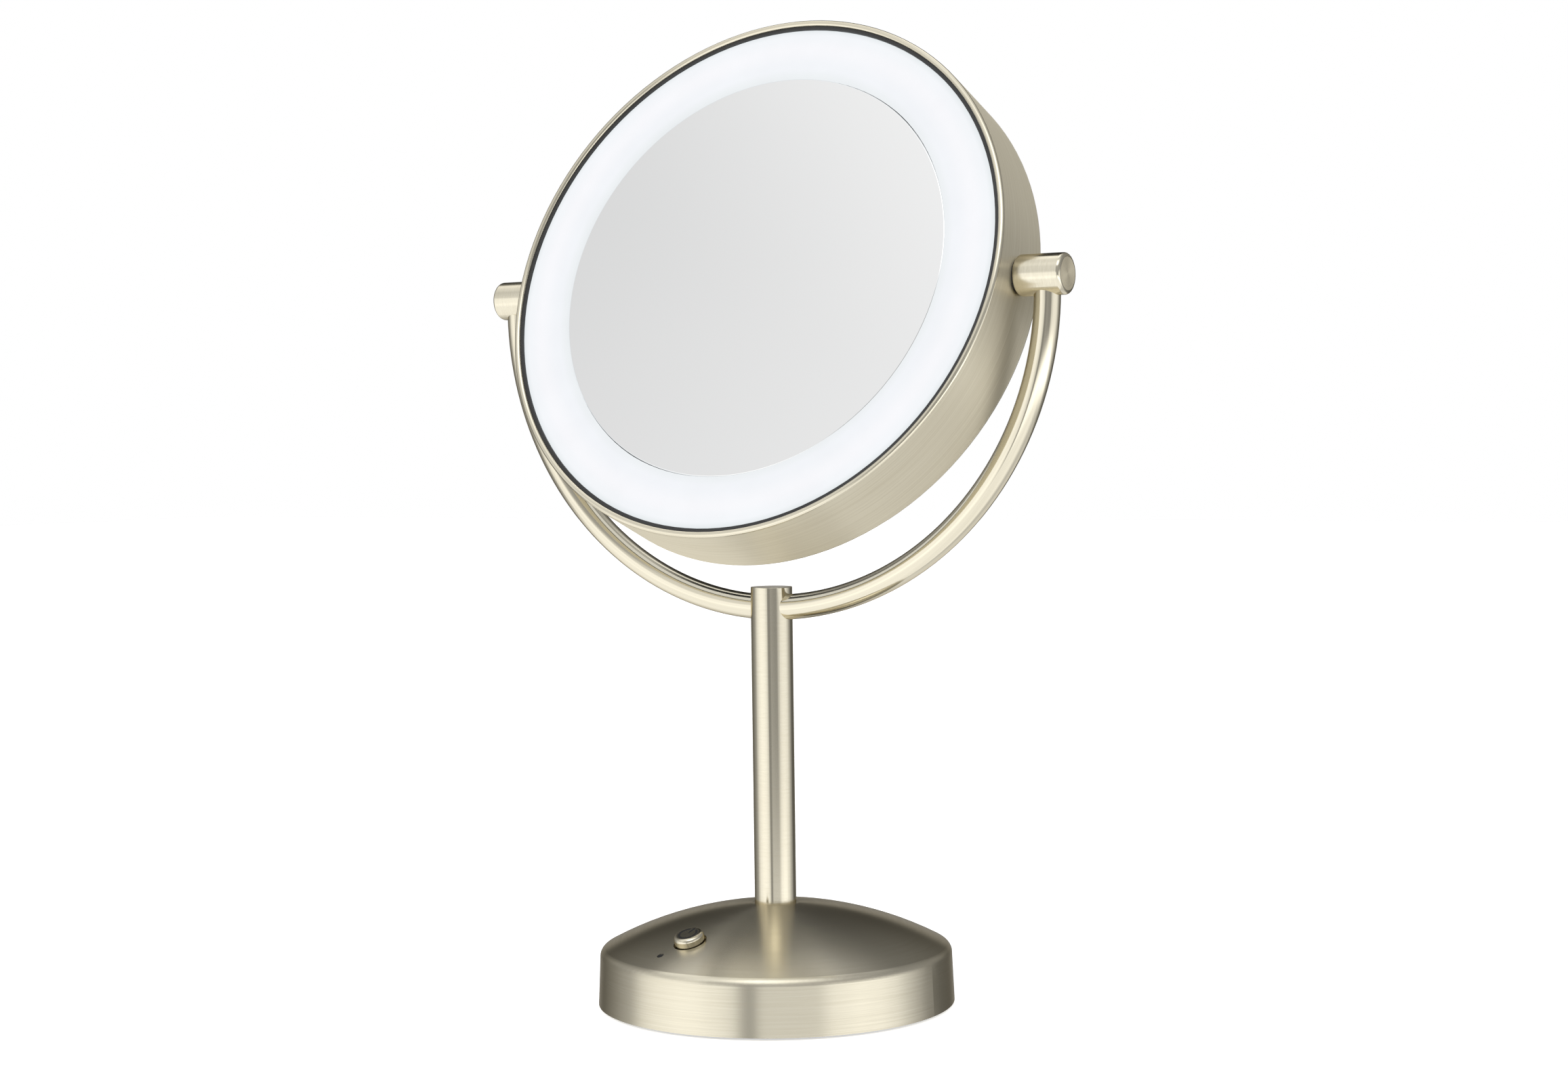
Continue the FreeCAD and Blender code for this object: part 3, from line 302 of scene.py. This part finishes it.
def polished_lips(tree):
    """A factor on the roughness: low on the head's two rounded lips, 1 on its side."""
    along = turned_place(tree, PIVOT, HEAD_AXIS)[0]
    front = span(tree, along, 1.0, POLISH, LIP_FRONT - POLISH_START, LIP_FRONT - POLISH_FULL)
    back = span(tree, along, 1.0, POLISH, POLISH_START - LIP_BACK, POLISH_FULL - LIP_BACK)
    return maths(tree, "MINIMUM", front, back)


def head_form(tree):
    """The head shell's outside normal: a tube whose two lips are rounded."""
    along, radius, outwards = turned_place(tree, PIVOT, HEAD_AXIS)
    past_front = maths(tree, "MAXIMUM", maths(tree, "SUBTRACT", along, LIP_FRONT - LIP_ROUND), 0.0)
    past_back = maths(tree, "MINIMUM", maths(tree, "ADD", along, LIP_BACK - LIP_ROUND), 0.0)
    beyond = maths(tree, "MAXIMUM", maths(tree, "SUBTRACT", radius, HEAD_RADIUS - LIP_ROUND), 0.0)
    within = maths(tree, "MINIMUM", maths(tree, "SUBTRACT", radius, LIP_INNER + LIP_INNER_ROUND), 0.0)
    lengthwise = scaled(tree, tuple(HEAD_AXIS), maths(tree, "ADD", past_front, past_back))
    crosswise = scaled(tree, outwards, maths(tree, "ADD", beyond, within))
    return vectors(tree, "NORMALIZE", vectors(tree, "ADD", lengthwise, crosswise))


# ---------- glass, light and plastics ----------

SILVER_DARK = (0.845, 0.85, 0.85, 1.0)
SILVER_LIGHT = (0.87, 0.87, 0.87, 1.0)
SILVER_HAZE = 9.0
SILVER_CLEAREST = 0.012
SILVER_HAZIEST = 0.03

# Glow from the light ring's inner edge (0) to its outer edge (1)
RING_GLOW = [
    (0.0, (0.84, 0.87, 0.89)),
    (0.2, (0.885, 0.905, 0.94)),
    (0.6, (0.93, 0.935, 0.965)),
    (0.86, (0.90, 0.92, 0.95)),
    (1.0, (0.80, 0.84, 0.86)),
]
RING_MOTTLE = 60.0
RING_DIMMEST = 0.985
RING_BRIGHTEST = 1.01
UNLIT_RING = (0.03, 0.03, 0.03, 1.0)

MOULDED_CLOUDS = 40.0
MOULDED_ROUGHNESS = 0.05
MOULDED_STRENGTH = 0.08
MOULDED_DEPTH = 0.0003


def mirror_glass():
    """Silvered glass: a clean reflection under a clear front."""
    material, tree = new_tree("silvered_glass")
    haze = noise(tree, place(tree), SILVER_HAZE, detail=2.0)
    finished(
        tree,
        Base_Color=mixed(tree, haze, SILVER_DARK, SILVER_LIGHT),
        Metallic=1.0,
        Roughness=span(tree, haze, SILVER_CLEAREST, SILVER_HAZIEST),
        Coat_Weight=0.25,
        Coat_Roughness=0.02,
    )
    return material


def lit_diffuser():
    """Opal ring, brightest between its edges."""
    material, tree = new_tree("lit_opal_acrylic")
    radius = turned_place(tree, PIVOT, HEAD_AXIS)[1]
    share = span(tree, radius, 0.0, 1.0, RING_INNER, RING_OUTER)
    mottle = spread(tree, noise(tree, place(tree), RING_MOTTLE), RING_DIMMEST, RING_BRIGHTEST)
    finished(
        tree,
        Base_Color=UNLIT_RING,
        Roughness=0.6,
        Specular_IOR_Level=0.1,
        Emission_Color=scaled(tree, ramp(tree, share, RING_GLOW), mottle),
        Emission_Strength=0.96,
    )
    return material


def moulded(name, dark, light, roughness, scale, metallic):
    """A generic fine-grained finish: moulded plastic, rubber, paint or plate."""
    material, tree = new_tree(name)
    grain = noise(tree, place(tree), scale)
    cloud = noise(tree, place(tree), MOULDED_CLOUDS, detail=2.0)
    share = maths(tree, "ADD", maths(tree, "MULTIPLY", grain, 0.5), maths(tree, "MULTIPLY", cloud, 0.5))
    finished(
        tree,
        Base_Color=mixed(tree, spread(tree, share, 0.0, 1.0), (*dark, 1.0), (*light, 1.0)),
        Metallic=metallic,
        Roughness=spread(tree, grain, roughness - MOULDED_ROUGHNESS, roughness + MOULDED_ROUGHNESS),
        Normal=bumped(tree, grain, MOULDED_STRENGTH, MOULDED_DEPTH),
    )
    return material


# ---------- which node takes which finish ----------

# Material slot: dark tone, light tone, roughness, scale of the grain, metallic
PLAIN_FINISHES = {
    "black_plastic": ((0.012, 0.012, 0.012), (0.03, 0.03, 0.03), 0.5, 1400.0, 0.0),
    "white_plastic": ((0.72, 0.72, 0.70), (0.82, 0.82, 0.80), 0.42, 900.0, 0.0),
    "foot_rubber": ((0.015, 0.015, 0.015), (0.04, 0.04, 0.04), 0.82, 1800.0, 0.0),
    "foam_pad": ((0.05, 0.05, 0.05), (0.12, 0.12, 0.12), 0.9, 2400.0, 0.0),
    "zinc_steel": ((0.48, 0.48, 0.46), (0.62, 0.62, 0.60), 0.35, 2000.0, 1.0),
    "ballast_iron": ((0.03, 0.03, 0.03), (0.08, 0.08, 0.08), 0.7, 600.0, 0.0),
    # The nylon washers are painted near-black as a painted shadow for the dark gap at the pivot barrels' ends; the
    # nylon itself is pale.
    "nylon": ((0.015, 0.015, 0.015), (0.035, 0.035, 0.035), 0.5, 900.0, 0.0),
    "circuit_board": ((0.01, 0.09, 0.03), (0.02, 0.14, 0.06), 0.35, 1500.0, 0.0),
    "component_black": ((0.01, 0.01, 0.01), (0.03, 0.03, 0.03), 0.4, 1500.0, 0.0),
    "clear_plastic": ((0.004, 0.004, 0.004), (0.01, 0.01, 0.01), 0.55, 700.0, 0.0),
    "cell_sleeve": ((0.03, 0.10, 0.30), (0.05, 0.15, 0.38), 0.3, 700.0, 0.0),
    "contact_brass": ((0.55, 0.42, 0.18), (0.68, 0.53, 0.25), 0.35, 1500.0, 1.0),
    "wire_insulation": ((0.02, 0.02, 0.02), (0.05, 0.05, 0.05), 0.5, 900.0, 0.0),
    "icon_ink": ((0.006, 0.006, 0.006), (0.02, 0.02, 0.02), 0.4, 2500.0, 0.0),
    "led_lens": ((0.75, 0.66, 0.28), (0.85, 0.76, 0.38), 0.3, 1800.0, 0.0),
}


def button_axis():
    """The button moves along the dome's normal, which its joint's axis gives."""
    joint = next(j for j in frame["joints"] if j["name"] == "button_press")
    return -Vector(joint["axis"]).normalized()


def button_centre():
    """The icon lies in the middle of the button's top."""
    low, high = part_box("power_icon")
    return (low + high) / 2


def paint(material, *names):
    """Give nodes one material each."""
    for name in names:
        slots = nodes[name].data.materials
        slots.clear()
        slots.append(material)


def paint_metal():
    """The nickel parts, each brushed about its own axis and as bright as its own polish."""
    upright = around(ORIGIN, UP)
    pivots = around(PIVOT, ACROSS)
    dome = brushed("nickel_turned_base", upright, roughness=0.25, anisotropy=0.92, contrast=0.6)
    post = brushed("nickel_post", upright, roughness=0.11, anisotropy=0.4, contrast=0.4)
    arc = brushed("nickel_yoke", arc_grain, roughness=0.12, anisotropy=0.0, contrast=0.4)
    barrel = brushed("nickel_pivot", pivots, roughness=0.17, anisotropy=0.4, contrast=0.6)
    cap = brushed("nickel_pivot_cap", pivots, roughness=0.8, anisotropy=0.3, contrast=0.6)
    drum = brushed("nickel_head", around(PIVOT, HEAD_AXIS), roughness=0.5, anisotropy=0.9,
                   polished=polished_lips, form=head_form)
    button = brushed("nickel_button", around(button_centre(), button_axis()), roughness=0.16,
                     anisotropy=0.3, contrast=0.6)
    paint(dome, "base_shell")
    paint(post, "stem_tube", "stem_cap")
    paint(arc, "yoke_arm_left", "yoke_arm_right")
    paint(barrel, "pivot_barrel_left", "pivot_barrel_right")
    paint(cap, "pivot_caps")
    paint(drum, "head_shell")
    paint(button, "power_button")


def paint_the_rest():
    """Each remaining node takes the finish of its material slot in the record."""
    made = {}
    for name, (dark, light, roughness, scale, metallic) in PLAIN_FINISHES.items():
        made[name] = moulded(name + "_finish", dark, light, roughness, scale, metallic)
    for part in frame["record"]["subparts"]:
        slot = part["material_slot"]
        if slot in made:
            paint(made[slot], part["node"])
    paint(mirror_glass(), "front_mirror", "rear_mirror")
    paint(lit_diffuser(), "front_diffuser", "rear_diffuser")


# ---------- studio ----------

WHITE = (1.0, 1.0, 1.0, 1.0)

# Degrees
FULL_TURN = 360.0
HALF_TURN = 180.0
QUARTER_TURN = 90.0

# Brightness of the room in six zones, by degrees to the right of the camera's side
AT_EYE_LEVEL = [
    (-180, 0.4), (-166, 0.3), (-150, 0.15), (-128, 0.28), (-108, 0.46), (-96, 0.88), (-82, 1.2),
    (-66, 1.38), (-50, 1.36), (-38, 1.24), (-27, 0.9), (-23, 0.34), (-12, 0.32), (-8, 0.44), (14, 0.36),
    (26, 0.36), (36, 0.96), (54, 1.18), (72, 1.2), (84, 1.12), (98, 0.72), (112, 0.36), (128, 0.15),
    (150, 0.14), (166, 0.3), (180, 0.4),
]
TABLE_EDGE = [
    (-180, 0.5), (-150, 0.5), (-125, 0.8), (-100, 1.3), (-50, 1.6), (-32, 1.5), (-23, 1.1), (-19.5, 0.3),
    (-15.5, 0.3), (-11, 1.7), (30, 2.1), (56, 2.3), (84, 1.9), (98, 0.7), (112, 0.1), (150, 0.1), (180, 0.5),
]
TABLE = [
    (-180, 0.3), (-160, 0.7), (-120, 1.26), (-50, 1.3), (0, 1.2), (56, 1.28), (72, 0.92), (84, 0.72),
    (96, 0.7), (112, 0.85), (150, 0.95), (168, 0.7), (180, 0.3),
]
UPPER_WALL = [
    (-180, 0.03), (-166, 0.06), (-150, 0.23), (-134, 0.38), (-118, 0.45), (-104, 0.70), (-82, 0.75),
    (-63, 1.0), (-54, 0.95), (-46, 0.52), (-30, 0.42), (0, 0.5), (60, 0.42), (100, 0.32), (120, 0.32),
    (140, 0.28), (158, 0.15), (170, 0.05), (180, 0.03),
]
OVERHEAD = [
    (-180, 0.85), (-165, 1.15), (-145, 1.45), (-104, 1.0), (-82, 1.0), (-54, 1.25), (-40, 1.7),
    (-20, 2.5), (0, 2.3), (30, 1.4), (60, 0.65), (100, 0.4), (125, 0.55), (150, 0.8), (180, 0.85),
]
ZENITH = [
    (-180, 1.7), (-140, 1.6), (-110, 1.0), (-60, 0.9), (0, 0.9), (60, 0.8), (130, 1.3), (180, 1.7),
]

# Degrees of height at which a zone begins round the room, and over which it fades in
EDGE_START = [(-180, -16), (-106, -14), (-90, -6), (70, -6), (96, -16), (180, -18)]
WALL_START = [
    (-180, 6), (-165, 6), (-150, 3), (-104, 16), (-80, 12), (-50, 1), (120, 3), (150, 3), (165, 6), (180, 6),
]
PANEL_START = [
    (-180, 56), (-160, 52), (-140, 42), (-110, 40), (-60, 36), (0, 34), (70, 36), (120, 42), (150, 50),
    (180, 56),
]
EDGE_FADE = -11.0
WALL_FADE = 9.0
PANEL_FADE = 12.0

# Degrees of height between which the zones that begin level fade in
TABLE_FROM, TABLE_TO = -18.0, -30.0
ZENITH_FROM, ZENITH_TO = 62.0, 76.0

FLOOR_REACH = 6.0
FLOOR_DROP = 0.0002
FLOOR_MOTTLE = 2.0
FLOOR_DARK = (0.92, 0.92, 0.92, 1.0)
FLOOR_LIGHT = (0.94, 0.94, 0.94, 1.0)

KEY_POSITION = (0.1, -0.5, 1.6)
KEY_TARGET = (0.0, 0.0, 0.1)
KEY_SIZE = 1.2
KEY_POWER = 9.0


def smooth_step(tree, value, start, end):
    """0 on the start's side, 1 beyond the end; start and end may be sockets."""
    made = add(tree, "MapRange", interpolation_type="SMOOTHSTEP")
    plug(tree, made.inputs["Value"], value)
    plug(tree, made.inputs["From Min"], start)
    plug(tree, made.inputs["From Max"], end)
    return made.outputs["Result"]


def round_the_room(tree, azimuth, stops):
    """Brightness by the degrees to the right of the camera's side."""
    share = span(tree, azimuth, 0.0, 1.0, -HALF_TURN, HALF_TURN)
    places = [((degrees + HALF_TURN) / FULL_TURN, grey) for degrees, grey in stops]
    return ramp(tree, share, places, smooth=False)


def height_at(tree, azimuth, stops):
    """Degrees of height by azimuth."""
    shares = [(degrees, (height + QUARTER_TURN) / HALF_TURN) for degrees, height in stops]
    return span(tree, round_the_room(tree, azimuth, shares), -QUARTER_TURN, QUARTER_TURN)


def look_direction(tree):
    """Degrees to the right of the camera's side, and degrees of height, of a direction."""
    turn = add(tree, "Mapping", vector_type="POINT")
    turn.inputs["Rotation"].default_value = (0.0, 0.0, -CAMERA_AZIMUTH)
    tree.links.new(add(tree, "TexCoord").outputs["Generated"], turn.inputs["Vector"])
    parts = add(tree, "SeparateXYZ")
    tree.links.new(turn.outputs[0], parts.inputs[0])
    towards_camera = maths(tree, "MULTIPLY", parts.outputs["Y"], -1.0)
    azimuth = maths(tree, "DEGREES", maths(tree, "ARCTAN2", parts.outputs["X"], towards_camera))
    height = maths(tree, "DEGREES", maths(tree, "ARCSINE", parts.outputs["Z"]))
    return azimuth, height


def surroundings():
    """A pale studio: bright side panels, a pale table, dark behind, soft panels overhead."""
    world = bpy.data.worlds.new("studio")
    world.use_nodes = True
    bpy.context.scene.world = world
    tree = world.node_tree
    tree.nodes.clear()
    azimuth, height = look_direction(tree)

    def past(start, fade):
        begins = height_at(tree, azimuth, start)
        return smooth_step(tree, height, begins, maths(tree, "ADD", begins, fade))

    zones = [
        (past(EDGE_START, EDGE_FADE), TABLE_EDGE),
        (smooth_step(tree, height, TABLE_FROM, TABLE_TO), TABLE),
        (past(WALL_START, WALL_FADE), UPPER_WALL),
        (past(PANEL_START, PANEL_FADE), OVERHEAD),
        (smooth_step(tree, height, ZENITH_FROM, ZENITH_TO), ZENITH),
    ]
    made = round_the_room(tree, azimuth, AT_EYE_LEVEL)
    for factor, stops in zones:
        made = mixed(tree, factor, made, round_the_room(tree, azimuth, stops))

    seen = add(tree, "LightPath")
    background = add(tree, "Background")
    plug(tree, background.inputs["Color"], mixed(tree, seen.outputs["Is Camera Ray"], made, WHITE))
    output = add(tree, "OutputWorld")
    tree.links.new(background.outputs[0], output.inputs["Surface"])


def floor():
    """A wide pale table, faintly mottled."""
    mesh = bpy.data.meshes.new("studio_floor")
    corners = [
        (-FLOOR_REACH, -FLOOR_REACH, 0.0),
        (FLOOR_REACH, -FLOOR_REACH, 0.0),
        (FLOOR_REACH, FLOOR_REACH, 0.0),
        (-FLOOR_REACH, FLOOR_REACH, 0.0),
    ]
    mesh.from_pydata(corners, [], [(0, 1, 2, 3)])
    plane = bpy.data.objects.new("studio_floor", mesh)
    bpy.context.scene.collection.objects.link(plane)
    plane.location.z = -FLOOR_DROP
    material, tree = new_tree("pale_table")
    colour = mixed(tree, noise(tree, place(tree), FLOOR_MOTTLE), FLOOR_DARK, FLOOR_LIGHT)
    finished(tree, Base_Color=colour, Roughness=0.9, Specular_IOR_Level=0.0,
             Emission_Color=WHITE, Emission_Strength=0.55)
    mesh.materials.append(material)
    plane.visible_glossy = False


def area_light(name, position, target, size, power):
    """A round soft light that reflections don't show."""
    data = bpy.data.lights.new(name, "AREA")
    data.shape = "DISK"
    data.size = size
    data.energy = power
    light = bpy.data.objects.new(name, data)
    bpy.context.scene.collection.objects.link(light)
    light.location = position
    light.rotation_mode = "QUATERNION"
    light.rotation_quaternion = (Vector(target) - Vector(position)).to_track_quat("-Z", "Y")
    light.visible_glossy = False


def camera():
    """The camera stands at its azimuth, faces the axis, and is turned by its yaw, pitch and roll."""
    turn = CAMERA_AZIMUTH + CAMERA_YAW
    forward = Vector((
        -math.sin(turn) * math.cos(CAMERA_PITCH),
        math.cos(turn) * math.cos(CAMERA_PITCH),
        math.sin(CAMERA_PITCH),
    ))
    level = Vector((math.cos(turn), math.sin(turn), 0.0))
    raised = level.cross(forward)
    right = math.cos(CAMERA_ROLL) * level + math.sin(CAMERA_ROLL) * raised
    up = math.cos(CAMERA_ROLL) * raised - math.sin(CAMERA_ROLL) * level
    data = bpy.data.cameras.new("camera")
    data.lens = CAMERA_LENS
    data.sensor_width = SENSOR_WIDTH
    data.sensor_fit = "HORIZONTAL"
    data.clip_start = CLIP_NEAR
    data.clip_end = CLIP_FAR
    seen_from = bpy.data.objects.new("camera", data)
    bpy.context.scene.collection.objects.link(seen_from)
    place_matrix = Matrix((right, up, -forward)).transposed().to_4x4()
    place_matrix.translation = (
        CAMERA_DISTANCE * math.sin(CAMERA_AZIMUTH),
        -CAMERA_DISTANCE * math.cos(CAMERA_AZIMUTH),
        CAMERA_HEIGHT,
    )
    seen_from.matrix_world = place_matrix
    bpy.context.scene.camera = seen_from


camera()
surroundings()
floor()
area_light("key", KEY_POSITION, KEY_TARGET, KEY_SIZE, KEY_POWER)
paint_metal()
paint_the_rest()
bpy.context.scene.view_settings.view_transform = "Standard"
